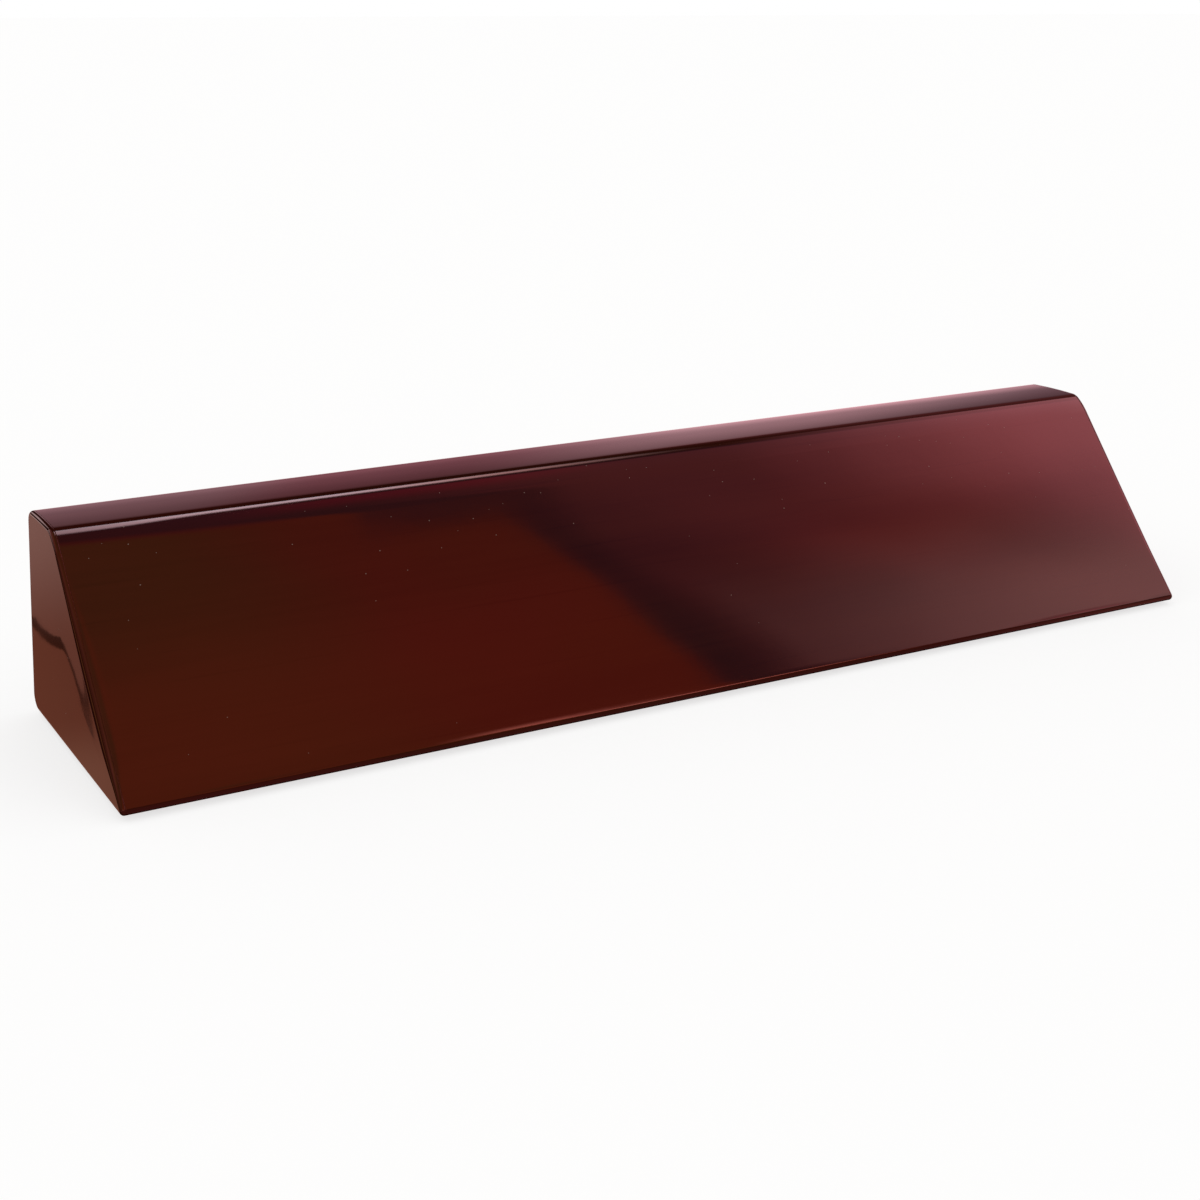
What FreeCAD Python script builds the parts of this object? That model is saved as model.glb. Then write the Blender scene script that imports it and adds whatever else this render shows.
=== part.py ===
import FreeCAD, Part
import math
import os

# Desk wedge name block, also called a name-plate plaque: a long bar of
# trapezoid section with a sloping display face, finished in gloss rosewood.
#
# Frame, in millimetres:
#   origin  middle of the footprint, on the surface that the block stands on
#   +X      along the length, to the reader's right
#   +Y      from the display face towards the back
#   +Z      up
#
# How it comes apart:
#   core_lower_board, core_middle_board, core_upper_board
#                     three boards glued face to face and ripped to the section
#   wrapped_veneer    one lacquered strip formed round front, top and back,
#                     with a lap turned under each long lower edge
#   left_end_veneer, right_end_veneer
#                     lacquered end panels with eased rims
#   underside_sheet   balancing sheet let in between the two laps
#   felt_base         felt glued under the block, set in from every edge

# ---------------------------------------------------------------- dimensions
length = 266.7            # overall, ten and a half inches
base_depth = 67.9         # front lower edge to back lower edge, edges sharp
body_height = 46.1        # lacquered body alone, without the felt
front_slope_deg = 49.9    # display face above the horizontal
back_lean = 10.5          # the back's top edge is this far forward of its foot

skin = 1.0                # veneer with its lacquer, and the underside sheet
felt_thickness = 1.0
felt_margin_x = 5.0       # felt set in from each end
felt_margin_front = 5.25  # felt set in from the front lower edge
felt_margin_back = 6.75   # felt set in from the back lower edge
felt_corner_r = 3.0

lap_front = 8.25          # wrap turned under the front, from the sharp edge
lap_back = 10.25          # wrap turned under the back, from the sharp edge

r_front_foot = 1.0        # edge between display face and underside
r_back_foot = 3.2         # edge between back and underside
r_back_top = 2.0          # edge between back and top
crest_r_tight = 4.0       # crest, first turn off the top
crest_tight_deg = 36.0
crest_r_wide = 18.0       # crest, slow run into the display face
r_end_rim = 0.9           # easing round each end panel

# ------------------------------------------------------------------- derived
z_foot = felt_thickness
z_top = z_foot + body_height
a_front = math.radians(front_slope_deg)
a_back = math.atan2(back_lean, body_height)
# rounding takes a little off the depth at each foot; the section is moved so
# that the middle of what is left sits at y = 0
cut_front = r_front_foot * ((1 + math.cos(a_front)) / math.sin(a_front) - 1)
cut_back = r_back_foot * ((1 + math.sin(a_back)) / math.cos(a_back) - 1)
y_front_foot = -base_depth / 2.0 + (cut_back - cut_front) / 2.0
y_back_foot = y_front_foot + base_depth
x_left = -length / 2.0
x_right = length / 2.0


def v(y, z, x=0.0):
    return FreeCAD.Vector(x, y, z)


def meet(p, d, q, e):
    # where the line p + t d crosses the line q + s e, in the y-z plane
    den = d[0] * e[1] - d[1] * e[0]
    t = ((q[0] - p[0]) * e[1] - (q[1] - p[1]) * e[0]) / den
    return (p[0] + t * d[0], p[1] + t * d[1])


def arc(centre, r, start_deg, end_deg):
    def at(a):
        a = math.radians(a)
        return v(centre[0] + r * math.cos(a), centre[1] + r * math.sin(a))
    return Part.Arc(at(start_deg), at((start_deg + end_deg) / 2.0), at(end_deg)).toShape()


def section(inset):
    # Closed section wire in the plane x = 0, moved in from the outer surface
    # by inset all round. Runs clockwise seen from +X: up the back, over the
    # top, down the display face, along the underside.
    sf, cf = math.sin(a_front), math.cos(a_front)
    sb, cb = math.sin(a_back), math.cos(a_back)
    zb = z_foot + inset
    zt = z_top - inset
    front_p = (y_front_foot + inset * sf, z_foot - inset * cf)
    front_d = (cf, sf)
    back_p = (y_back_foot - inset * cb, z_foot - inset * sb)
    back_d = (-sb, cb)

    deg_front_n = 90.0 + front_slope_deg          # outward normal of the face
    deg_back_n = math.degrees(a_back)             # outward normal of the back

    edges = []

    # crest between the top and the display face: a tight arc, then a wide one
    r1 = crest_r_tight - inset
    r2 = crest_r_wide - inset
    t1 = math.radians(crest_tight_deg)
    drop = r1 * (1 - math.cos(t1)) + r2 * (math.cos(t1) - cf)
    run = r1 * math.sin(t1) + r2 * (sf - math.sin(t1))
    z_end = zt - drop
    y_end = front_p[0] + (z_end - front_p[1]) / math.tan(a_front)
    y_start = y_end + run
    c1 = (y_start, zt - r1)
    c2 = (c1[0] + (r2 - r1) * math.sin(t1), c1[1] - (r2 - r1) * math.cos(t1))
    crest_tight = arc(c1, r1, 90.0, 90.0 + crest_tight_deg)
    crest_wide = arc(c2, r2, 90.0 + crest_tight_deg, deg_front_n)

    # back top edge
    rt = r_back_top - inset
    q = meet((back_p[0] - rt * cb, back_p[1] - rt * sb), back_d, (0, zt - rt), (1, 0))
    back_top = arc(q, rt, deg_back_n, 90.0)
    p_bt0 = v(q[0] + rt * cb, q[1] + rt * sb)
    p_bt1 = v(q[0], zt)

    # back foot
    rk = r_back_foot - inset
    k = meet((back_p[0] - rk * cb, back_p[1] - rk * sb), back_d, (0, zb + rk), (1, 0))
    back_foot = arc(k, rk, -90.0, deg_back_n)
    p_bk0 = v(k[0], zb)
    p_bk1 = v(k[0] + rk * cb, k[1] + rk * sb)

    # front foot
    rf = r_front_foot - inset
    if rf > 1e-6:
        m = meet((front_p[0] + rf * sf, front_p[1] - rf * cf), front_d, (0, zb + rf), (1, 0))
        p_ff0 = v(m[0] - rf * sf, m[1] + rf * cf)
        p_ff1 = v(m[0], zb)
        front_foot = arc(m, rf, deg_front_n, 270.0)
    else:
        m = meet(front_p, front_d, (0, zb), (1, 0))
        p_ff0 = p_ff1 = v(m[0], m[1])
        front_foot = None

    edges.append(Part.makeLine(p_bk1, p_bt0))
    edges.append(back_top)
    edges.append(Part.makeLine(p_bt1, v(y_start, zt)))
    edges.append(crest_tight)
    edges.append(crest_wide)
    edges.append(Part.makeLine(v(y_end, z_end), p_ff0))
    if front_foot is not None:
        edges.append(front_foot)
    edges.append(Part.makeLine(p_ff1, p_bk0))
    edges.append(back_foot)
    return Part.Wire(edges)


def prism(wire, x0, x1):
    face = Part.Face(wire)
    solid = face.extrude(FreeCAD.Vector(x1 - x0, 0, 0))
    solid.translate(FreeCAD.Vector(x0, 0, 0))
    return solid


def box(x0, x1, y0, y1, z0, z1):
    return Part.makeBox(x1 - x0, y1 - y0, z1 - z0, FreeCAD.Vector(x0, y0, z0))


parts = {}

# ---------------------------------------------------------------------- core
# Three boards, glued flat on each other. Each is one third of the height
# between the underside sheet and the underside of the wrapped skin.
core_x0 = x_left + skin
core_x1 = x_right - skin
core_z0 = z_foot + skin
core_z1 = z_top - skin
board = (core_z1 - core_z0) / 3.0
core = prism(section(skin), core_x0, core_x1)
for i, name in enumerate(("core_lower_board", "core_middle_board", "core_upper_board")):
    slab = box(core_x0 - 5, core_x1 + 5, -base_depth, base_depth,
               core_z0 + i * board, core_z0 + (i + 1) * board)
    parts[name] = core.common(slab)

# ------------------------------------------------------------- wrapped skin
sheet_y0 = y_front_foot + lap_front
sheet_y1 = y_back_foot - lap_back
wrap = prism(section(0.0), core_x0, core_x1).cut(prism(section(skin), core_x0 - 1, core_x1 + 1))
wrap = wrap.cut(box(core_x0 - 1, core_x1 + 1, sheet_y0, sheet_y1, z_foot - 1, core_z0))
parts["wrapped_veneer"] = wrap

# ---------------------------------------------------------- underside sheet
parts["underside_sheet"] = box(core_x0, core_x1, sheet_y0, sheet_y1, z_foot, core_z0)


# ---------------------------------------------------------------- end panels
def end_panel(x_in, x_out):
    lo, hi = min(x_in, x_out), max(x_in, x_out)
    panel = prism(section(0.0), lo, hi)
    rim = [e for e in panel.Edges
           if abs(e.BoundBox.XMin - x_out) < 1e-5 and abs(e.BoundBox.XMax - x_out) < 1e-5]
    return panel.makeFillet(r_end_rim, rim)


parts["left_end_veneer"] = end_panel(core_x0, x_left)
parts["right_end_veneer"] = end_panel(core_x1, x_right)

# ----------------------------------------------------------------- felt base
felt = box(x_left + felt_margin_x, x_right - felt_margin_x,
           y_front_foot + felt_margin_front, y_back_foot - felt_margin_back,
           0.0, felt_thickness)
upright = [e for e in felt.Edges
           if abs(e.BoundBox.ZLength - felt_thickness) < 1e-5
           and e.BoundBox.XLength < 1e-5 and e.BoundBox.YLength < 1e-5]
parts["felt_base"] = felt.makeFillet(felt_corner_r, upright)

# -------------------------------------------------------------------- export
os.makedirs("parts", exist_ok=True)
for name, shape in parts.items():
    solids = shape.Solids
    if len(solids) != 1 or not shape.isValid():
        raise SystemExit("bad solid: %s, %d solids, valid %s" % (name, len(solids), shape.isValid()))
    solids[0].exportStep("parts/%s.step" % name)
    bb = solids[0].BoundBox
    print("%-20s vol %10.1f mm3  x %8.2f %8.2f  y %7.2f %7.2f  z %6.2f %6.2f" % (
        name, solids[0].Volume, bb.XMin, bb.XMax, bb.YMin, bb.YMax, bb.ZMin, bb.ZMax))
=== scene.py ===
import math

import bmesh
import bpy
from mathutils import Matrix, Vector, noise


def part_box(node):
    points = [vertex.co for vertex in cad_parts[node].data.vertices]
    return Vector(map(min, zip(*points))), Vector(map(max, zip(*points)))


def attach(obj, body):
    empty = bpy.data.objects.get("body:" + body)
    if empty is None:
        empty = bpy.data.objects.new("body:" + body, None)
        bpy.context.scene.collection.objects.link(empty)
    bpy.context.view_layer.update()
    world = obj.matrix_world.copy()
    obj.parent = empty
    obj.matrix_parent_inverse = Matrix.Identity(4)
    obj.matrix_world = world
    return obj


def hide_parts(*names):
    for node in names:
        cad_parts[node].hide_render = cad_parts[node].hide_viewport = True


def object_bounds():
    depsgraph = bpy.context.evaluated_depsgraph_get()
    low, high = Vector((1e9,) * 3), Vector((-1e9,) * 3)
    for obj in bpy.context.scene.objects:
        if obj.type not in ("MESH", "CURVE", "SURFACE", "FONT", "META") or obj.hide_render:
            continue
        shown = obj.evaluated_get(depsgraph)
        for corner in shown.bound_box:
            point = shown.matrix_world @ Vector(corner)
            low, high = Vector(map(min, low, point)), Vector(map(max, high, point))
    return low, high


# A desk nameplate block: a long wedge in gloss rosewood. The frame is the packed
# CAD model; this script gives it its skin, its felt, its finish, and a studio.

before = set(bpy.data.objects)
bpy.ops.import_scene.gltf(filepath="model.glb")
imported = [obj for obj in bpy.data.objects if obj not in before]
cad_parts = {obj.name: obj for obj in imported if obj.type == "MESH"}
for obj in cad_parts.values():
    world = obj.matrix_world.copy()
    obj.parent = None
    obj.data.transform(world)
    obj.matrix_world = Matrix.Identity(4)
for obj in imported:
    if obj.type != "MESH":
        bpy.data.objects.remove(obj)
CAD_LO, CAD_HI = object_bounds()

MM = 0.001


# ---------------------------------------------------------------------------
# The section, worked out from the frame's own boxes and the block's radii.
# ---------------------------------------------------------------------------
wrap_lo, wrap_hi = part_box("wrapped_veneer")
end_lo, end_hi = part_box("left_end_veneer")
r_lo, r_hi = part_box("right_end_veneer")
sheet_lo, sheet_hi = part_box("underside_sheet")
felt_lo, felt_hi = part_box("felt_base")

SKIN = 1.0 * MM
SLOPE = math.radians(49.9)          # display face above the horizontal
LEAN = 10.5 * MM                    # the back's top edge stands this far forward
Z_FOOT = wrap_lo.z
Z_TOP = wrap_hi.z
A_BACK = math.atan2(LEAN, 46.1 * MM)
R_FRONT_FOOT = 1.0 * MM
R_BACK_FOOT = 3.2 * MM
R_BACK_TOP = 3.0 * MM
R_CREST_TIGHT = 4.0 * MM
CREST_TIGHT = math.radians(36.0)
R_CREST_WIDE = 18.0 * MM
R_RIM = 0.9 * MM

SF, CF = math.sin(SLOPE), math.cos(SLOPE)
SB, CB = math.sin(A_BACK), math.cos(A_BACK)
# the sharp feet of the section, from where the rounded ones reach to
Y_FRONT = wrap_lo.y - R_FRONT_FOOT * ((1 + CF) / SF - 1)
Y_BACK = wrap_hi.y + R_BACK_FOOT * ((1 + SB) / CB - 1)

CROWN_FRONT = 0.03 * MM             # the display face is almost dead flat
CROWN_BACK = 0.10 * MM
TOP_TURN = math.radians(2.4)        # the top rolls off by this much each way


def meet(p, d, q, e):
    den = d[0] * e[1] - d[1] * e[0]
    t = ((q[0] - p[0]) * e[1] - (q[1] - p[1]) * e[0]) / den
    return (p[0] + t * d[0], p[1] + t * d[1])


def arc_points(c, r, a0, a1, n):
    out = []
    for i in range(n + 1):
        a = a0 + (a1 - a0) * i / n
        out.append((c[0] + r * math.cos(a), c[1] + r * math.sin(a), math.cos(a), math.sin(a)))
    return out


STEPS_FACE = (0.0, 0.012, 0.035, 0.08, 0.14, 0.21, 0.29, 0.37, 0.45, 0.53, 0.61, 0.69, 0.77, 0.845, 0.91, 0.955, 0.982, 1.0)


def face_points(p0, p1, n, crown, steps=STEPS_FACE):
    out = []
    for t in steps:
        k = crown * math.sin(math.pi * t) ** 2
        out.append((p0[0] + (p1[0] - p0[0]) * t + n[0] * k, p0[1] + (p1[1] - p0[1]) * t + n[1] * k, n[0], n[1]))
    return out


TOP_FLAT = 14.4 * MM                # near enough the top's width between its arcs
TOP_DROP = TOP_FLAT / 2 * math.tan(TOP_TURN / 2) - R_BACK_TOP * (1 - math.cos(TOP_TURN))


def outline(inset, lap_front_y, lap_back_y):
    """The outer line of the section, inset by so much, from the lap under the
    back, up the back, over the top, down the display face, to the lap under the
    front. Each point is (y, z, outward normal y, z, tag)."""
    zb, zt = Z_FOOT + inset, Z_TOP - inset - TOP_DROP
    fp, fd = (Y_FRONT + inset * SF, Z_FOOT - inset * CF), (CF, SF)
    bp, bd = (Y_BACK - inset * CB, Z_FOOT - inset * SB), (-SB, CB)
    nf, nb = (-SF, CF), (CB, SB)
    af = math.pi / 2 + SLOPE
    pts = []

    rk = R_BACK_FOOT - inset
    k = meet((bp[0] - rk * nb[0], bp[1] - rk * nb[1]), bd, (0, zb + rk), (1, 0))
    rt = R_BACK_TOP - inset
    q = meet((bp[0] - rt * nb[0], bp[1] - rt * nb[1]), bd, (0, zt - rt), (1, 0))
    r1, r2 = R_CREST_TIGHT - inset, R_CREST_WIDE - inset
    drop = r1 * (1 - math.cos(CREST_TIGHT)) + r2 * (math.cos(CREST_TIGHT) - CF)
    run = r1 * math.sin(CREST_TIGHT) + r2 * (SF - math.sin(CREST_TIGHT))
    z_end = zt - drop
    y_end = fp[0] + (z_end - fp[1]) / math.tan(SLOPE)
    c1 = (y_end + run, zt - r1)
    c2 = (c1[0] + (r2 - r1) * math.sin(CREST_TIGHT), c1[1] - (r2 - r1) * math.cos(CREST_TIGHT))
    rf = max(R_FRONT_FOOT - inset, 0.00001)
    m = meet((fp[0] + rf * SF, fp[1] - rf * CF), fd, (0, zb + rf), (1, 0))

    def add(seq, tag):
        for i, p in enumerate(seq):
            if pts and abs(pts[-1][0] - p[0]) + abs(pts[-1][1] - p[1]) < 1e-9:
                continue
            pts.append((*p, tag))

    add(face_points((lap_back_y, zb), (k[0], zb), (0, -1), 0, (0, 0.5, 0.9, 1)), "lap")
    add(arc_points(k, rk, -math.pi / 2, A_BACK, 14), "foot")
    add(face_points((k[0] + rk * nb[0], k[1] + rk * nb[1]), (q[0] + rt * nb[0], q[1] + rt * nb[1]), nb, CROWN_BACK), "back")
    add(arc_points(q, rt, A_BACK, math.pi / 2 - TOP_TURN, 12), "edge")
    p0, p1 = pts[-1][:2], (c1[0] - r1 * math.sin(TOP_TURN), c1[1] + r1 * math.cos(TOP_TURN))
    roll = (p0[0] - p1[0]) / 2 / math.sin(TOP_TURN)
    for i in range(1, 18):
        t = i / 18
        a = TOP_TURN * (1 - 2 * t)
        k = roll * (math.cos(a) - math.cos(TOP_TURN))
        pts.append(((p0[0] + p1[0]) / 2 + roll * math.sin(a), p0[1] + (p1[1] - p0[1]) * t + k, math.sin(a), math.cos(a), "top"))
    add(arc_points(c1, r1, math.pi / 2 + TOP_TURN, math.pi / 2 + CREST_TIGHT, 14), "crest")
    add(arc_points(c2, r2, math.pi / 2 + CREST_TIGHT, af, 8), "crest")
    add(face_points((y_end, z_end), (m[0] + rf * nf[0], m[1] + rf * nf[1]), nf, CROWN_FRONT), "front")
    add(arc_points(m, rf, af, math.pi * 1.5, 16), "foot")
    add(face_points((m[0], zb), (lap_front_y, zb), (0, -1), 0, (0, 0.1, 0.5, 1)), "lap")
    return pts


def mesh_object(name, verts, faces, smooth=True):
    me = bpy.data.meshes.new(name)
    me.from_pydata(verts, [], faces)
    me.validate()
    me.update()
    for p in me.polygons:
        p.use_smooth = smooth
    o = bpy.data.objects.new(name, me)
    bpy.context.scene.collection.objects.link(o)
    return o


def fix_normals(o):
    bm = bmesh.new()
    bm.from_mesh(o.data)
    bmesh.ops.recalc_face_normals(bm, faces=bm.faces)
    bm.to_mesh(o.data)
    bm.free()
    o.data.update()


# ---------------------------------------------------------------------------
# The wrapped skin: front, top and back in one piece, lapped under both feet.
# ---------------------------------------------------------------------------
GROOVE = 0.06 * MM                  # each side of the hairline at the ends
WAVE = 0.02 * MM                    # hand-polished surfaces are never dead flat
LAP_FRONT, LAP_BACK = sheet_lo.y, sheet_hi.y


def wave(x, y, z, tag):
    v = noise.noise(Vector((x * 14.0 + 3.1, y * 26.0, z * 26.0)))
    v += 0.45 * noise.noise(Vector((x * 38.0 + 9.7, y * 60.0 + 4.0, z * 60.0)))
    return v


def stations(x0, x1):
    near = [0.0, GROOVE, 2.5 * GROOVE, 0.35 * MM, 0.6 * MM, 0.9 * MM, 1.2 * MM, 1.5 * MM, 1.9 * MM, 2.4 * MM, 2.8 * MM]
    xs = [x0 + k for k in near]
    n = 84
    a, b = x0 + 3.2 * MM, x1 - 3.2 * MM
    xs += [a + (b - a) * i / n for i in range(n + 1)]
    xs += [x1 - k for k in reversed(near)]
    return xs


def rims(pts, most):
    """How far the buffing has rolled the end over, at each point of the section:
    even all round, but heavier in the lower half of the display face."""
    out = []
    for (y, z, ny, nz, tag) in pts:
        r = R_RIM
        if tag == "front":
            t = (Z_TOP - z) / (Z_TOP - Z_FOOT)
            if t < 0.66:
                k = min(1.0, max(0.0, (t + 0.02) / 0.62))
            else:
                k = min(1.0, max(0.0, (0.97 - t) / 0.26))
            r += (most - R_RIM) * k * k * (3 - 2 * k)
        out.append(r)
    return out


ROLL_LEFT, ROLL_RIGHT = 2.95 * MM, 1.3 * MM
DOME = 0.02 * MM


def rolled(r, s):
    """How far the surface has dropped at a distance s in from the end."""
    if s >= r:
        return 0.0
    return r - math.sqrt(max(0.0, r * r - (r - s) ** 2))


def make_wrap():
    x0, x1 = wrap_lo.x, wrap_hi.x
    outer = outline(0.0, LAP_FRONT, LAP_BACK)
    inner = outline(0.85 * MM, LAP_FRONT, LAP_BACK)
    n = len(outer)
    assert len(inner) == n
    xs = stations(x0, x1)
    left, right = rims(outer, ROLL_LEFT), rims(outer, ROLL_RIGHT)
    end0, end1 = end_lo.x + DOME, r_hi.x - DOME
    verts, faces = [], []
    for i, x in enumerate(xs):
        ease = GROOVE * 0.7 if i in (0, len(xs) - 1) else 0.0
        fade = min(1.0, max(0.0, (x - x0) / (14 * MM)), max(0.0, (x1 - x) / (14 * MM)))
        fade = fade * fade * (3 - 2 * fade)
        for j, (y, z, ny, nz, tag) in enumerate(outer):
            k = -ease
            k -= rolled(left[j], x - end0) + rolled(right[j], end1 - x)
            if tag in ("front", "top", "back", "crest") and fade > 0:
                k += WAVE * fade * (wave(x, y, z, tag) - 0.6)
            verts.append((x, y + ny * k, z + nz * k))
        for (y, z, ny, nz, tag) in reversed(inner):
            verts.append((x, y, z))
    m = 2 * n
    for i in range(len(xs) - 1):
        a, b = i * m, (i + 1) * m
        for j in range(m):
            k = (j + 1) % m
            faces.append((a + j, a + k, b + k, b + j))
    last = (len(xs) - 1) * m
    for j in range(n - 1):
        o0, o1, i0, i1 = j, j + 1, m - 1 - j, m - 2 - j
        faces.append((o0, i0, i1, o1))
        faces.append((last + o0, last + o1, last + i1, last + i0))
    return mesh_object("wrapped_skin", verts, faces)


# ---------------------------------------------------------------------------
# The end panels, with an eased rim and a face that is slightly full.
# ---------------------------------------------------------------------------
def make_end(name, x_in, x_out, most):
    sgn = 1.0 if x_out > x_in else -1.0
    mid = (LAP_FRONT + LAP_BACK) / 2
    base = outline(0.0, mid, mid)[:-1]
    rim_r = rims(base, most)
    face_x = x_out - sgn * DOME
    deep = abs(face_x - x_in)
    loops = []

    def loop(spots):
        """spots: for each point of the section, its distance in from the end
        and how far it is let in from the outer surface."""
        loops.append([(face_x - sgn * d, y - ny * k, z - nz * k)
                      for (y, z, ny, nz, tag), (d, k) in zip(base, spots)])

    loop([(deep, GROOVE * 0.7 + rolled(r, deep)) for r in rim_r])
    loop([(deep - GROOVE, rolled(r, deep - GROOVE)) for r in rim_r])
    steps = 14
    for i in range(1, steps + 1):
        spots = []
        for r in rim_r:
            d0 = min(r, deep - 2 * GROOVE)
            a0 = math.asin(1 - d0 / r)
            a = a0 + (math.pi / 2 - a0) * i / steps
            spots.append((r * (1 - math.sin(a)), r * (1 - math.cos(a))))
        loop(spots)
    rim = loops[-1]
    cy, cz = (Y_FRONT + Y_BACK) / 2 + 3 * MM, Z_FOOT + 19 * MM
    for s in (0.985, 0.94, 0.86, 0.74, 0.6, 0.44, 0.27, 0.12):
        bulge = DOME * (1 - s * s) ** 2
        loops.append([(face_x + sgn * bulge, cy + (p[1] - cy) * s, cz + (p[2] - cz) * s) for p in rim])
    verts, faces = [], []
    n = len(rim)
    for l in loops:
        verts += l
    for i in range(len(loops) - 1):
        a, b = i * n, (i + 1) * n
        for j in range(n):
            k = (j + 1) % n
            f = (a + j, b + j, b + k, a + k) if sgn > 0 else (a + j, a + k, b + k, b + j)
            faces.append(f)
    c_out = len(verts)
    verts.append((x_out, cy, cz))
    c_in = len(verts)
    verts.append((x_in, cy, cz))
    b = (len(loops) - 1) * n
    for j in range(n):
        k = (j + 1) % n
        faces.append((b + j, c_out, b + k) if sgn > 0 else (b + j, b + k, c_out))
        faces.append((j, k, c_in) if sgn > 0 else (j, c_in, k))
    return mesh_object(name, verts, faces)


wrap = make_wrap()
left_end = make_end("left_end_panel", end_hi.x, end_lo.x, ROLL_LEFT)
right_end = make_end("right_end_panel", r_lo.x, r_hi.x, ROLL_RIGHT)

for o in (wrap, left_end, right_end):
    fix_normals(o)
    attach(o, "root")
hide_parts("wrapped_veneer")
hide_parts("left_end_veneer")
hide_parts("right_end_veneer")


# ---------------------------------------------------------------------------
# The felt under the block: pressed felt, cut a little soft at its edge.
# ---------------------------------------------------------------------------
def rounded_rect(x0, x1, y0, y1, r, per_corner=8, nx=64, ny=16):
    pts = []
    corners = [((x1 - r, y1 - r), 0), ((x0 + r, y1 - r), 90), ((x0 + r, y0 + r), 180), ((x1 - r, y0 + r), 270)]
    for idx, ((cx, cy), a0) in enumerate(corners):
        for i in range(per_corner + 1):
            a = math.radians(a0 + 90 * i / per_corner)
            pts.append((cx + r * math.cos(a), cy + r * math.sin(a), math.cos(a), math.sin(a)))
        nxt = corners[(idx + 1) % 4]
        a1 = math.radians(a0 + 90)
        p = (cx + r * math.cos(a1), cy + r * math.sin(a1))
        q = (nxt[0][0] + r * math.cos(a1), nxt[0][1] + r * math.sin(a1))
        n = nx if idx in (0, 2) else ny
        for i in range(1, n):
            t = i / n
            pts.append((p[0] + (q[0] - p[0]) * t, p[1] + (q[1] - p[1]) * t, math.cos(a1), math.sin(a1)))
    return pts


def make_felt():
    z0, z1 = felt_lo.z, felt_hi.z - 0.02 * MM
    base = rounded_rect(felt_lo.x, felt_hi.x, felt_lo.y, felt_hi.y, 3.0 * MM)
    soft = 0.28 * MM

    def ragged(p, seed):
        v = noise.noise(Vector((p[0] * 420 + seed, p[1] * 420, 0.3 * seed)))
        return 0.10 * MM * (v - 0.5)

    rings = []
    # underside, rounded lower edge, side, rounded upper edge, upper side
    prof = [(-1.4 * MM, z0 + 0.00 * MM), (-soft, z0 + 0.01 * MM), (-0.10 * MM, z0 + 0.10 * MM), (0.0, z0 + soft),
            (0.0, z1 - soft), (-0.10 * MM, z1 - 0.10 * MM), (-soft, z1)]
    for k, (off, z) in enumerate(prof):
        ring = []
        for p in base:
            o = off + (ragged(p, 1.0 + 0.35 * k) if 1 <= k <= 5 else 0.0)
            ring.append((p[0] + p[2] * o, p[1] + p[3] * o, z))
        rings.append(ring)
    verts, faces = [], []
    n = len(base)
    for r in rings:
        verts += r
    for i in range(len(rings) - 1):
        a, b = i * n, (i + 1) * n
        for j in range(n):
            k = (j + 1) % n
            faces.append((a + j, a + k, b + k, b + j))
    me_faces_bottom = tuple(reversed(range(n)))
    me_faces_top = tuple((len(rings) - 1) * n + j for j in range(n))
    faces.append(me_faces_bottom)
    faces.append(me_faces_top)
    o = mesh_object("felt_pad", verts, faces)
    fix_normals(o)
    return o


felt = make_felt()
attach(felt, "root")
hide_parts("felt_base")


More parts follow.
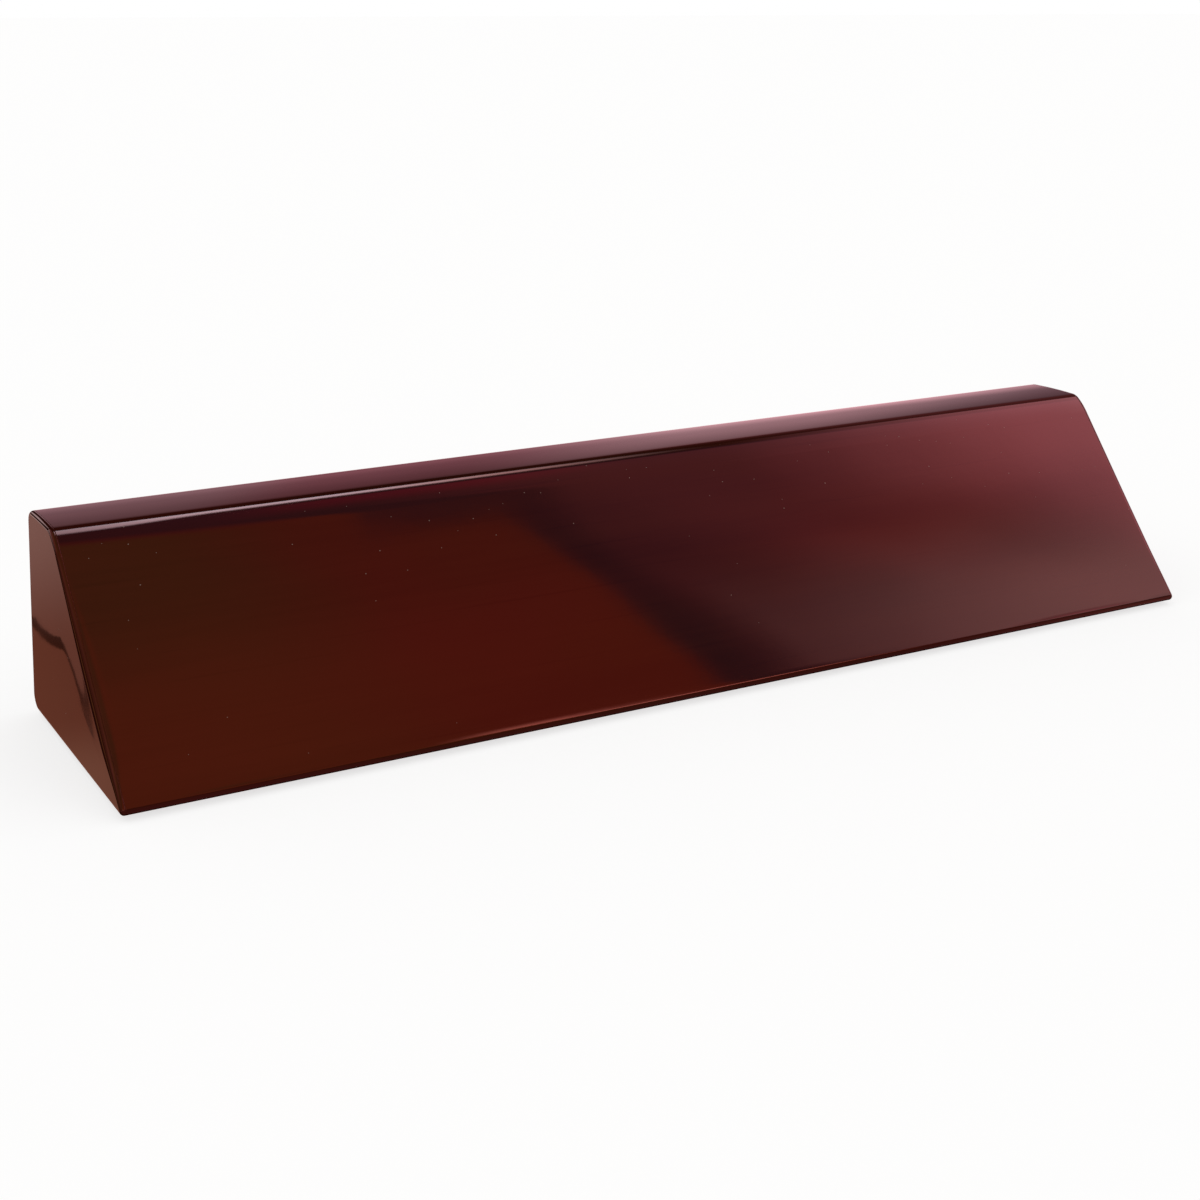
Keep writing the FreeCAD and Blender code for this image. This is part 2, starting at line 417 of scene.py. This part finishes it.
# ---------------------------------------------------------------------------
# Materials
# ---------------------------------------------------------------------------
class Tree:
    """Short ways to add nodes to a node tree."""

    def __init__(self, tree):
        self.t = tree
        self.n = tree.nodes
        self.l = tree.links

    def add(self, kind, **props):
        node = self.n.new(kind)
        for k, v in props.items():
            setattr(node, k, v)
        return node

    def put(self, value, socket):
        if isinstance(value, bpy.types.NodeSocket):
            self.l.new(value, socket)
        else:
            socket.default_value = value

    def maths(self, op, a, b=None, c=None, clamp=False):
        node = self.add("ShaderNodeMath", operation=op, use_clamp=clamp)
        self.put(a, node.inputs[0])
        if b is not None:
            self.put(b, node.inputs[1])
        if c is not None:
            self.put(c, node.inputs[2])
        return node.outputs[0]

    def vmaths(self, op, a, b=None, out=0):
        node = self.add("ShaderNodeVectorMath", operation=op)
        self.put(a, node.inputs[0])
        if b is not None:
            self.put(b, node.inputs[1])
        return node.outputs[out]

    def scaled(self, vec, factor):
        node = self.add("ShaderNodeVectorMath", operation="SCALE")
        self.put(vec, node.inputs[0])
        self.put(factor, node.inputs["Scale"])
        return node.outputs[0]

    def smooth(self, value, a, b, lo=0.0, hi=1.0):
        node = self.add("ShaderNodeMapRange", interpolation_type="SMOOTHSTEP")
        self.put(value, node.inputs["Value"])
        self.put(a, node.inputs["From Min"])
        self.put(b, node.inputs["From Max"])
        self.put(lo, node.inputs["To Min"])
        self.put(hi, node.inputs["To Max"])
        return node.outputs[0]

    def mapping(self, vec, scale=(1, 1, 1), loc=(0, 0, 0), rot=(0, 0, 0)):
        node = self.add("ShaderNodeMapping")
        self.put(vec, node.inputs["Vector"])
        node.inputs["Scale"].default_value = scale
        node.inputs["Location"].default_value = loc
        node.inputs["Rotation"].default_value = rot
        return node.outputs[0]

    def noise(self, vec, scale, detail=2.0, rough=0.5, distortion=0.0):
        node = self.add("ShaderNodeTexNoise", noise_dimensions="3D")
        self.put(vec, node.inputs["Vector"])
        node.inputs["Scale"].default_value = scale
        node.inputs["Detail"].default_value = detail
        node.inputs["Roughness"].default_value = rough
        node.inputs["Distortion"].default_value = distortion
        return node.outputs[0]

    def voronoi(self, vec, scale, feature="F1", randomness=1.0):
        node = self.add("ShaderNodeTexVoronoi", feature=feature)
        self.put(vec, node.inputs["Vector"])
        node.inputs["Scale"].default_value = scale
        if "Randomness" in node.inputs:
            node.inputs["Randomness"].default_value = randomness
        return node

    def mix(self, fac, a, b, blend="MIX"):
        node = self.add("ShaderNodeMix", data_type="RGBA", blend_type=blend)
        self.put(fac, node.inputs[0])
        self.put(a, node.inputs[6])
        self.put(b, node.inputs[7])
        return node.outputs[2]

    def bump(self, height, strength, distance, normal=None):
        node = self.add("ShaderNodeBump")
        node.inputs["Strength"].default_value = strength
        node.inputs["Distance"].default_value = distance
        self.put(height, node.inputs["Height"])
        if normal is not None:
            self.put(normal, node.inputs["Normal"])
        return node.outputs[0]


def new_material(name):
    mat = bpy.data.materials.new(name)
    mat.use_nodes = True
    mat.node_tree.nodes.clear()
    t = Tree(mat.node_tree)
    out = t.add("ShaderNodeOutputMaterial")
    bsdf = t.add("ShaderNodeBsdfPrincipled")
    t.l.new(bsdf.outputs[0], out.inputs[0])
    return mat, t, bsdf


def rgb(r, g, b):
    return (r, g, b, 1.0)


def gloss_rosewood(name, along):
    """Dark red-brown rosewood under a thick polished lacquer. along is the axis
    the grain runs on: 'X' for the wrap, 'Z' for the end panels."""
    mat, t, b = new_material(name)
    at = t.add("ShaderNodeTexCoord").outputs["Object"]
    if along == "X":
        stretch, fine = (5.0, 120.0, 120.0), (22.0, 900.0, 900.0)
    else:
        stretch, fine = (120.0, 110.0, 7.0), (900.0, 800.0, 26.0)

    # broad clouding of the stain, tens of millimetres across
    cloud = t.noise(t.mapping(at, (9.0, 14.0, 14.0), (0.31, 0.07, 0.0)), 1.0, 3.0, 0.55)
    cloud = t.smooth(cloud, 0.34, 0.66)
    cloud2 = t.noise(t.mapping(at, (26.0, 40.0, 40.0), (1.9, 0.4, 0.6)), 1.0, 2.0, 0.5)
    # grain, long and faint, and its finer dark vessels
    grain = t.noise(t.mapping(at, stretch, (0.0, 0.0, 0.0)), 1.0, 5.0, 0.6, 0.35)
    grain = t.smooth(grain, 0.36, 0.68)
    vessel = t.noise(t.mapping(at, fine, (0.4, 0.1, 0.2)), 1.0, 2.0, 0.5)
    vessel = t.smooth(vessel, 0.60, 0.78)

    red = rgb(0.060, 0.0088, 0.0052)
    brown = rgb(0.047, 0.0108, 0.0042)
    dark = rgb(0.024, 0.0042, 0.0030)
    col = t.mix(cloud, red, brown)
    col = t.mix(t.maths("MULTIPLY", cloud2, 0.25), col, rgb(0.066, 0.0100, 0.0068))
    col = t.mix(t.maths("MULTIPLY", grain, 0.34), col, dark)
    col = t.mix(t.maths("MULTIPLY", vessel, 0.30), col, rgb(0.018, 0.0030, 0.0022))

    # dust: a few motes a fifth of a millimetre across, settled in drifts
    split = t.add("ShaderNodeSeparateXYZ")
    t.l.new(at, split.inputs[0])
    join = t.add("ShaderNodeCombineXYZ")
    t.put(t.maths("MULTIPLY", split.outputs[0 if along == "X" else 2], 220.0), join.inputs[0])
    across = t.maths("MULTIPLY_ADD", split.outputs[1], 0.7, split.outputs[2]) if along == "X" else split.outputs[1]
    t.put(t.maths("MULTIPLY", across, 180.0), join.inputs[1])
    cells = t.add("ShaderNodeTexVoronoi", feature="F1", voronoi_dimensions="2D")
    t.l.new(join.outputs[0], cells.inputs["Vector"])
    cells.inputs["Scale"].default_value = 1.0
    pick = t.add("ShaderNodeSeparateColor")
    t.l.new(cells.outputs["Color"], pick.inputs[0])
    size = t.maths("MULTIPLY_ADD", pick.outputs[1], 0.013, 0.013)
    mote = t.maths("LESS_THAN", cells.outputs["Distance"], size)
    drift = t.noise(t.mapping(at, (20.0, 24.0, 0.0), (8.2, 0.0, 0.0)), 1.0, 1.0, 0.5)
    height = t.maths("ADD", t.smooth(split.outputs[2], 0.018, 0.044, 0.0, 0.38), t.smooth(split.outputs[2], 0.0455, 0.0468, 0.0, -0.42))
    drift = t.maths("MULTIPLY_ADD", drift, 1.3, height)
    rare = t.maths("GREATER_THAN", t.maths("ADD", pick.outputs[0], drift), 1.72)
    mote = t.maths("MULTIPLY", mote, rare)
    col = t.mix(t.maths("MULTIPLY", mote, 0.75), col, rgb(0.42, 0.34, 0.29))
    t.l.new(col, b.inputs["Base Color"])

    # polish: clean overall, with faint haze where hands and cloth have been
    haze = t.noise(t.mapping(at, (18.0, 30.0, 30.0), (5.0, 0.0, 0.0)), 1.0, 4.0, 0.6)
    rough = t.smooth(haze, 0.35, 0.75, *((0.040, 0.065) if along == "X" else (0.012, 0.022)))
    rough = t.maths("ADD", rough, t.maths("MULTIPLY", mote, 0.5))
    t.l.new(rough, b.inputs["Roughness"])

    # orange peel of the lacquer and the slow swell of hand polishing
    peel = t.noise(at, 330.0, 2.0, 0.5)
    swell = t.noise(t.mapping(at, (20.0, 34.0, 34.0), (0.0, 2.0, 0.0)), 1.0, 1.0, 0.4)
    n = t.bump(swell, 1.0, 0.00010 if along == "X" else 0.00002)
    n = t.bump(peel, 1.0, 0.0000016 if along == "X" else 0.0000004, n)
    t.l.new(n, b.inputs["Normal"])
    t.l.new(n, b.inputs["Coat Normal"])

    b.inputs["IOR"].default_value = 1.5
    b.inputs["Specular IOR Level"].default_value = 0.75
    b.inputs["Specular Tint"].default_value = rgb(1.0, 0.30, 0.27)
    b.inputs["Coat Weight"].default_value = 0.15
    b.inputs["Coat Roughness"].default_value = 0.02
    b.inputs["Coat IOR"].default_value = 1.5
    return mat


def felt_material():
    mat, t, b = new_material("pressed_felt")
    at = t.add("ShaderNodeTexCoord").outputs["Object"]
    fibre = t.noise(t.mapping(at, (900, 700, 900)), 1.0, 4.0, 0.7, 1.4)
    tuft = t.noise(at, 260.0, 3.0, 0.6)
    col = t.mix(t.smooth(fibre, 0.35, 0.7), rgb(0.010, 0.010, 0.011), rgb(0.034, 0.032, 0.033))
    col = t.mix(t.maths("MULTIPLY", t.smooth(tuft, 0.4, 0.7), 0.35), col, rgb(0.020, 0.018, 0.019))
    t.l.new(col, b.inputs["Base Color"])
    t.l.new(t.smooth(tuft, 0.3, 0.7, 0.88, 1.0), b.inputs["Roughness"])
    t.l.new(t.bump(t.maths("ADD", fibre, tuft), 0.8, 0.00012), b.inputs["Normal"])
    b.inputs["Specular IOR Level"].default_value = 0.15
    b.inputs["Sheen Weight"].default_value = 0.35
    b.inputs["Sheen Roughness"].default_value = 0.5
    return mat


def board_material():
    mat, t, b = new_material("fibreboard")
    at = t.add("ShaderNodeTexCoord").outputs["Object"]
    fleck = t.noise(t.mapping(at, (420, 900, 900)), 1.0, 5.0, 0.65, 0.6)
    band = t.noise(t.mapping(at, (3, 3, 260)), 1.0, 2.0, 0.5)
    col = t.mix(t.smooth(fleck, 0.35, 0.68), rgb(0.40, 0.27, 0.155), rgb(0.56, 0.41, 0.26))
    col = t.mix(t.maths("MULTIPLY", band, 0.3), col, rgb(0.34, 0.22, 0.12))
    t.l.new(col, b.inputs["Base Color"])
    t.l.new(t.smooth(fleck, 0.3, 0.7, 0.7, 0.88), b.inputs["Roughness"])
    t.l.new(t.bump(fleck, 0.5, 0.00006), b.inputs["Normal"])
    return mat


def underside_material():
    mat, t, b = new_material("sealed_underside")
    at = t.add("ShaderNodeTexCoord").outputs["Object"]
    grain = t.noise(t.mapping(at, (9, 320, 320)), 1.0, 5.0, 0.6, 0.4)
    col = t.mix(t.smooth(grain, 0.35, 0.68), rgb(0.050, 0.022, 0.014), rgb(0.026, 0.012, 0.009))
    t.l.new(col, b.inputs["Base Color"])
    t.l.new(t.smooth(grain, 0.3, 0.7, 0.42, 0.62), b.inputs["Roughness"])
    t.l.new(t.bump(grain, 0.4, 0.00003), b.inputs["Normal"])
    return mat


def paint(o, mat):
    o.data.materials.clear()
    o.data.materials.append(mat)


paint(wrap, gloss_rosewood("gloss_rosewood_long_grain", "X"))
end_mat = gloss_rosewood("gloss_rosewood_end_panels", "Z")
paint(left_end, end_mat)
paint(right_end, end_mat)
paint(felt, felt_material())
board = board_material()
for n in ("core_lower_board", "core_middle_board", "core_upper_board"):
    for i in range(len(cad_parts[n].material_slots)):
        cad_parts[n].material_slots[i].material = board
under = underside_material()
for i in range(len(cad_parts["underside_sheet"].material_slots)):
    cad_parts["underside_sheet"].material_slots[i].material = under


# ---------------------------------------------------------------------------
# The studio: a pale floor, and soft light all round with a few brighter and
# darker stretches, which is what the gloss shows.
# ---------------------------------------------------------------------------
def direction(az, el):
    """A unit vector. az 0 looks along -Y and grows towards +X, in degrees."""
    a, e = math.radians(az), math.radians(el)
    return (math.sin(a) * math.cos(e), -math.cos(a) * math.cos(e), math.sin(e))


def studio_world():
    world = bpy.data.worlds.new("studio")
    bpy.context.scene.world = world
    world.use_nodes = True
    world.node_tree.nodes.clear()
    t = Tree(world.node_tree)
    out = t.add("ShaderNodeOutputWorld")
    d = t.vmaths("NORMALIZE", t.add("ShaderNodeTexCoord").outputs["Generated"])
    sep = t.add("ShaderNodeSeparateXYZ")
    t.l.new(d, sep.inputs[0])
    x, y, z = sep.outputs
    mul = lambda *v: v[0] if len(v) == 1 else t.maths("MULTIPLY", v[0], mul(*v[1:]))
    plus = lambda a, b: t.maths("ADD", a, b)
    flip = lambda a: t.maths("SUBTRACT", 1.0, a)
    # the room is laid out on its ceiling: p runs with +X and q with +Y, both
    # measured at one unit above the block; side runs out from straight ahead
    zc = t.maths("MAXIMUM", z, 0.02)
    p = t.maths("DIVIDE", x, zc)
    q = t.maths("DIVIDE", y, zc)
    ahead = t.maths("MAXIMUM", mul(y, -1.0), 0.02)
    side = t.maths("DIVIDE", x, ahead)
    el = t.maths("MULTIPLY", t.maths("ARCSINE", z), 57.29578)
    up = t.smooth(z, 0.0, 0.03)

    def window(value, a, b, c, e):
        """0 below a, up to 1 at b, 1 until c, down to 0 at e."""
        return mul(t.smooth(value, a, b), t.smooth(value, c, e, 1.0, 0.0))

    def vec(r, g, b):
        n = t.add("ShaderNodeCombineXYZ")
        for i, v in enumerate((r, g, b)):
            t.put(v, n.inputs[i])
        return n.outputs[0]

    total = None

    def add(mask, colour):
        nonlocal total
        v = t.scaled(colour if isinstance(colour, bpy.types.NodeSocket) else vec(*colour), mask)
        total = v if total is None else t.vmaths("ADD", total, v)

    low = mul(q, -1.0)                                     # rises towards the floor ahead
    # --- a warm wooden wall, ahead and to the left; its top edge runs across
    # the ceiling and its right edge is upright
    edge = t.maths("MAXIMUM", t.maths("MULTIPLY_ADD", p, -1.1, -0.006), -0.487)
    soft = t.smooth(p, 0.30, 0.42, 0.16, 0.022)
    below = t.maths("SUBTRACT", edge, q)
    top_edge = t.smooth(t.maths("DIVIDE", below, soft), -0.45, 0.75)
    wall = mul(top_edge, t.smooth(side, 1.068, 1.106, 1.0, 0.0), t.smooth(p, -3.2, -1.3), t.smooth(q, 0.10, 0.60, 1.0, 0.0), up)
    wall_r = plus(plus(0.28, t.smooth(side, 0.62, 0.90, 0.0, 0.20)),
                  mul(t.smooth(low, 0.50, 0.63, 0.0, 0.30), t.smooth(side, 0.6, 0.95, 1.0, 0.45)))
    wall_g = t.smooth(side, 0.58, 0.86, 0.225, 0.105)
    lower = t.smooth(low, 0.95, 2.1, 1.0, 0.12)
    add(mul(wall, lower), vec(wall_r, wall_g, 0.075))
    # --- violet gloom over the rest of the front
    front = mul(t.smooth(q, -0.02, 0.05, 1.0, 0.0), t.smooth(p, 0.10, 0.30), up, flip(wall))
    add(mul(front, t.smooth(low, 0.90, 2.0, 1.0, 0.35)), (0.03, 0.045, 0.14))
    # --- to the right of the wall's edge: a rosy bounce that grows outwards
    turn = t.maths("DIVIDE", 1.1036, t.maths("SQRT", t.maths("MULTIPLY_ADD", q, q, 1.0)))
    out_p = mul(p, t.maths("MAXIMUM", turn, 1.0))
    w = plus(out_p, t.maths("MULTIPLY", t.maths("MINIMUM", plus(q, 0.48), 0.0), 2.9))
    right = mul(t.smooth(side, 1.115, 1.20), up, t.smooth(q, 0.20, 0.38, 1.0, 0.0))
    before = t.smooth(q, -0.04, 0.0, 1.0, 0.0)
    add(mul(right, before, t.smooth(p, 0.36, 0.50), t.smooth(low, 1.0, 2.2, 1.0, 0.3)), (0.19, 0.055, 0.055))
    add(mul(right, before, t.smooth(w, 0.478, 0.618)), (0.25, 0.10, 0.10))
    glow = mul(right, t.smooth(w, 0.67, 1.018), t.smooth(p, 1.5, 3.2, 1.0, 0.18))
    add(glow, (2.05, 1.08, 1.26))
    add(mul(right, t.smooth(out_p, 0.995, 1.06), t.smooth(q, -0.50, -0.44)), (0.30, 0.33, 0.32))
    add(mul(window(q, 0.25, 0.40, 1.1, 1.5), t.smooth(p, 0.60, 1.0), up), (0.22, 0.06, 0.07))
    add(mul(right, window(p, 0.64, 0.90, 0.92, 1.06), window(low, 0.46, 0.545, 0.555, 0.62)), (0.27, 0.035, 0.0))
    # --- a pale floor lamp, low on the right
    lamp = mul(window(low, 0.535, 0.665, 0.95, 1.9), plus(0.37, t.smooth(side, 1.2, 1.62, 0.0, 0.78)), t.smooth(side, 1.15, 1.24), up)
    add(lamp, (1.04, 0.97, 0.93))
    # --- a red tinge along the near side of the overhead strip
    add(mul(t.smooth(q, -0.34, -0.06), t.smooth(q, -0.03, 0.0, 1.0, 0.0), window(p, 0.29, 0.38, 0.45, 0.58), up), (0.40, 0.0, 0.04))
    # --- the overhead strip
    near_edge = t.smooth(p, 0.24, 0.31, -0.045, 0.015)
    strip_q = mul(t.smooth(t.maths("SUBTRACT", q, near_edge), 0.0, 0.07), t.smooth(q, 0.26, 0.38, 1.0, 0.0))
    strip_p = mul(window(p, 0.02, 0.17, 0.40, 0.64), t.smooth(p, 0.22, 0.30, 0.62, 1.0))
    pale = t.mix(t.smooth(p, 0.36, 0.50), rgb(5.0, 7.2, 8.4), rgb(4.4, 4.4, 4.5))
    add(mul(strip_q, strip_p, up), pale)
    # --- behind, low down: what the flat top shows
    k = t.maths("DIVIDE", x, t.maths("MAXIMUM", y, 0.02))
    rise = mul(t.smooth(q, 1.05, 1.55), plus(0.56, plus(t.smooth(q, 2.0, 3.9, 0.0, 0.45), t.smooth(q, 3.9, 6.0, 0.0, 0.55))), up)
    add(mul(rise, t.smooth(x, 0.10, 0.17)), (0.355, 0.135, 0.17))
    add(mul(rise, window(k, 0.46, 0.64, 0.72, 0.98)), (0.36, 0.27, 0.29))
    add(mul(rise, t.smooth(k, 0.72, 0.92)), (-0.06, 0.03, 0.03))
    add(mul(rise, window(k, 0.12, 0.20, 0.30, 0.38)), (0.06, 0.09, 0.09))
    add(mul(t.smooth(q, 1.15, 1.45), t.smooth(q, 1.6, 2.8, 1.0, 0.0), window(k, 0.58, 0.72, 0.86, 1.1), up), (0.20, 0.09, 0.10))

    # --- below the horizon: a table behind on the left, paler at its far side,
    # with one dark seam wandering over it; h and g are measured across the wall
    # that stands behind the block
    down = t.smooth(z, 0.01, -0.02)
    ahead_y = t.maths("MAXIMUM", y, 0.02)
    h = t.maths("MULTIPLY", k, -1.0)
    g = t.maths("DIVIDE", z, ahead_y)
    corner = mul(t.smooth(x, -0.255, -0.315, 1.0, 0.0), t.smooth(y, 0.55, 0.75))
    jag = t.noise(t.mapping(d, (300.0, 300.0, 300.0)), 1.0, 2.0, 0.6)
    jag = t.maths("MULTIPLY_ADD", jag, 0.0028, -0.0014)

    def line(points):
        """A line across the wall, g against h."""
        node = t.add("ShaderNodeFloatCurve")
        t.put(t.maths("MULTIPLY_ADD", h, 16.66667, -3.333333, clamp=True), node.inputs["Value"])
        curve = node.mapping.curves[0]
        spots = [((a - 0.200) / 0.060, (c + 0.400) / 0.100) for a, c in points]
        curve.points[0].location = spots[0]
        curve.points[1].location = spots[-1]
        for q0 in spots[1:-1]:
            curve.points.new(*q0)
        node.mapping.update()
        return t.maths("MULTIPLY_ADD", node.outputs[0], 0.100, -0.400)

    above = line(((0.2000, -0.3000), (0.2107, -0.3202), (0.2144, -0.3269), (0.2198, -0.3312), (0.2243, -0.3323), (0.2279, -0.3350),
                  (0.2305, -0.3405), (0.2345, -0.3532), (0.2390, -0.3691), (0.2500, -0.398), (0.260, -0.399)))
    under = line(((0.2000, -0.3040), (0.2104, -0.3259), (0.2142, -0.3330), (0.2178, -0.3364), (0.2228, -0.3394), (0.2288, -0.3424),
                  (0.2313, -0.3475), (0.2345, -0.3590), (0.2384, -0.3735), (0.2500, -0.400), (0.260, -0.400)))
    low_of_top = t.maths("SUBTRACT", plus(above, jag), g)
    high_of_bottom = t.maths("SUBTRACT", g, plus(under, jag))
    inside = mul(t.smooth(low_of_top, -0.0008, 0.0008), t.smooth(high_of_bottom, -0.0008, 0.0008))
    seam = t.maths("SUBTRACT", 1.0, mul(inside, 0.76))
    paler = t.smooth(low_of_top, 0.0, 0.006, 1.0, 0.0)
    add(mul(down, corner, seam), (0.26, 0.080, 0.047))
    add(mul(down, corner, seam, paler), (0.02, 0.02, 0.02))
    add(mul(down, corner, seam, t.smooth(el, -18.4, -14.2)), (0.185, 0.14, 0.13))
    add(mul(down, corner, t.smooth(el, -20.3, -22.2)), (0.10, 0.065, 0.045))
    # two thin lights behind on the left, one on the horizon and one above it
    hind = t.smooth(y, 0.80, 0.90)
    add(mul(hind, t.smooth(x, -0.235, -0.265), window(el, -11.0, -9.0, -6.5, -4.5)), (0.95, 0.72, 0.68))
    add(mul(hind, window(x, -0.33, -0.29, -0.16, -0.10), window(el, 5.5, 8.0, 15.5, 17.5)), (1.15, 0.92, 0.92))
    # a small warm light low on the left, and dusk above it
    add(mul(window(el, -9.5, -7.0, -4.5, -1.0), window(y, 0.30, 0.42, 0.62, 0.72), t.smooth(x, -0.6, -0.72)), (0.40, 0.22, 0.07))
    add(mul(window(el, -3.0, 8.0, 40.0, 60.0), window(y, -0.20, 0.0, 0.30, 0.55), t.smooth(x, -0.55, -0.75)), (0.24, 0.12, 0.065))
    # --- soft panels that the back, the top and the ends show from other sides
    add(mul(window(x, -0.88, -0.78, -0.44, -0.36), t.smooth(y, 0.42, 0.55), window(el, -1.5, 4.0, 20.0, 30.0)), (0.80, 0.62, 0.60))
    add(mul(t.smooth(x, 0.02, 0.20), t.smooth(y, 0.25, 0.45), window(el, -18.0, -9.0, 1.0, 6.5)), (0.50, 0.38, 0.39))
    add(mul(t.smooth(x, -0.02, -0.25), t.smooth(y, -0.22, -0.45), window(el, 8.0, 16.0, 30.0, 42.0)), (0.62, 0.50, 0.47))
    add(mul(t.smooth(x, -0.945, -0.975), window(el, -24.0, -8.0, -3.0, 2.0)), (0.55, 0.36, 0.32))
    add(mul(t.smooth(x, 0.972, 0.99), window(el, -24.0, -8.0, -3.0, 2.0)), (0.40, 0.30, 0.28))
    add(mul(t.smooth(x, -0.36, -0.45), t.smooth(q, 0.0, 0.5), t.smooth(el, 12.0, 24.0)), (0.42, 0.21, 0.20))
    # --- a rosy wall on the far right, seen only in the turned edge there
    add(mul(t.smooth(x, 0.45, 0.62), window(y, -0.20, -0.02, 0.82, 0.92), window(el, -34.0, -26.0, 8.0, 11.0)), (0.34, 0.16, 0.18))
    # the near end of the table, dim
    add(mul(t.smooth(y, 0.0, -0.25), t.smooth(el, 20.0, 2.0)), (0.18, 0.06, 0.080))
    add(mul(t.smooth(y, 0.0, -0.25), t.smooth(el, 20.0, 2.0), t.smooth(x, 0.58, 0.76)), (0.40, 0.16, 0.14))
    # a small lamp low in front: the glint along the foot
    add(mul(window(low, 0.67, 0.78, 1.0, 1.3), window(side, 0.66, 0.78, 0.95, 1.08), up), (3.0, 2.0, 1.7))

    glossy = t.add("ShaderNodeBackground")
    t.l.new(total, glossy.inputs["Color"])
    glossy.inputs["Strength"].default_value = 1.0
    fill = t.add("ShaderNodeBackground")
    fill.inputs["Color"].default_value = rgb(1.0, 0.99, 0.98)
    fill.inputs["Strength"].default_value = 0.45
    seen = t.add("ShaderNodeBackground")
    seen.inputs["Color"].default_value = rgb(1, 1, 1)
    seen.inputs["Strength"].default_value = 1.0
    path = t.add("ShaderNodeLightPath")
    m1 = t.add("ShaderNodeMixShader")
    t.l.new(path.outputs["Is Glossy Ray"], m1.inputs[0])
    t.l.new(fill.outputs[0], m1.inputs[1])
    t.l.new(glossy.outputs[0], m1.inputs[2])
    m2 = t.add("ShaderNodeMixShader")
    t.l.new(path.outputs["Is Camera Ray"], m2.inputs[0])
    t.l.new(m1.outputs[0], m2.inputs[1])
    t.l.new(seen.outputs[0], m2.inputs[2])
    t.l.new(m2.outputs[0], out.inputs[0])


def studio_floor():
    me = bpy.data.meshes.new("studio_floor")
    s = 30.0
    me.from_pydata([(-s, -s, 0), (s, -s, 0), (s, s, 0), (-s, s, 0)], [], [(0, 1, 2, 3)])
    o = bpy.data.objects.new("studio_floor", me)
    bpy.context.scene.collection.objects.link(o)
    mat, t, b = new_material("pale_floor")
    b.inputs["Base Color"].default_value = rgb(0.62, 0.62, 0.62)
    b.inputs["Roughness"].default_value = 0.9
    b.inputs["Specular IOR Level"].default_value = 0.0
    b.inputs["Emission Color"].default_value = rgb(1, 1, 1)
    b.inputs["Emission Strength"].default_value = 0.71
    o.data.materials.append(mat)
    o.visible_glossy = False
    o.visible_diffuse = False
    return o


studio_world()
studio_floor()
bpy.context.scene.view_settings.view_transform = "Standard"
bpy.context.scene.view_settings.look = "None"
bpy.context.scene.view_settings.exposure = 0.0
bpy.context.scene.view_settings.gamma = 1.0


# ---------------------------------------------------------------------------
# Camera: from the front left, a little above.
# ---------------------------------------------------------------------------
def make_camera():
    az, el, roll = math.radians(-29.5306), math.radians(15.9988), math.radians(-0.0573)
    length = CAD_HI.x - CAD_LO.x
    back = Vector((math.sin(az) * math.cos(el), -math.cos(az) * math.cos(el), math.sin(el)))
    right = Vector((math.cos(az), math.sin(az), 0.0))
    up = back.cross(right)
    aim = Vector((0.0, 0.0, 23.8 * MM))
    place = aim + (back * 1.6115 - right * 0.0438 + up * 0.0077) * length
    c, s = math.cos(roll), math.sin(roll)
    r2, u2 = right * c + up * s, up * c - right * s
    data = bpy.data.cameras.new("camera")
    data.sensor_width = 36.0
    data.lens = 56.356
    data.shift_x = 0.0
    data.shift_y = -0.045
    data.clip_start = 0.01
    data.clip_end = 100.0
    cam = bpy.data.objects.new("camera", data)
    rot = Matrix((r2, u2, back)).transposed()
    cam.matrix_world = Matrix.Translation(place) @ rot.to_4x4()
    bpy.context.scene.collection.objects.link(cam)
    bpy.context.scene.camera = cam


make_camera()
